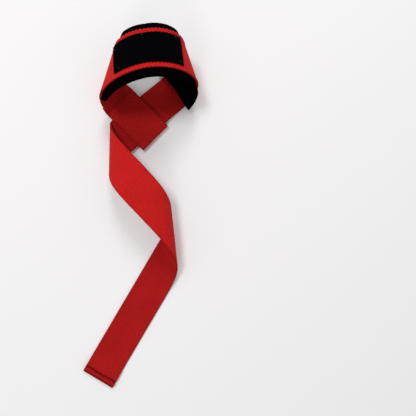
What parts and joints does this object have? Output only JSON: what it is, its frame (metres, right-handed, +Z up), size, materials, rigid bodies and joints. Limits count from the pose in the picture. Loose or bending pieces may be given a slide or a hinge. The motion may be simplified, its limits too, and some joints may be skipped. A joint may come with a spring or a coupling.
{
  "type": "lifting strap",
  "caption": "Padded webbing wrist strap: a wrist loop drawn through a flat sewn end loop, a thick inner pad, a plain label and a long twice turned-over tail with a hem.",
  "frame": {"origin": "middle of the underside of the strap's bounding box, on the surface that it lies on", "axes": "+Z up from the surface, +Y from the hemmed tail towards the wrist loop, +X to the right as seen from the tail"},
  "size_m": [0.1298, 0.376, 0.0692],
  "materials": {
    "webbing": "matte",
    "wrist_pad": "matte",
    "label": "matte"
  },
  "bodies": {
    "root": {"webbing": "webbing", "wrist_pad": "wrist_pad", "label": "label"}
  },
  "joints": []
}
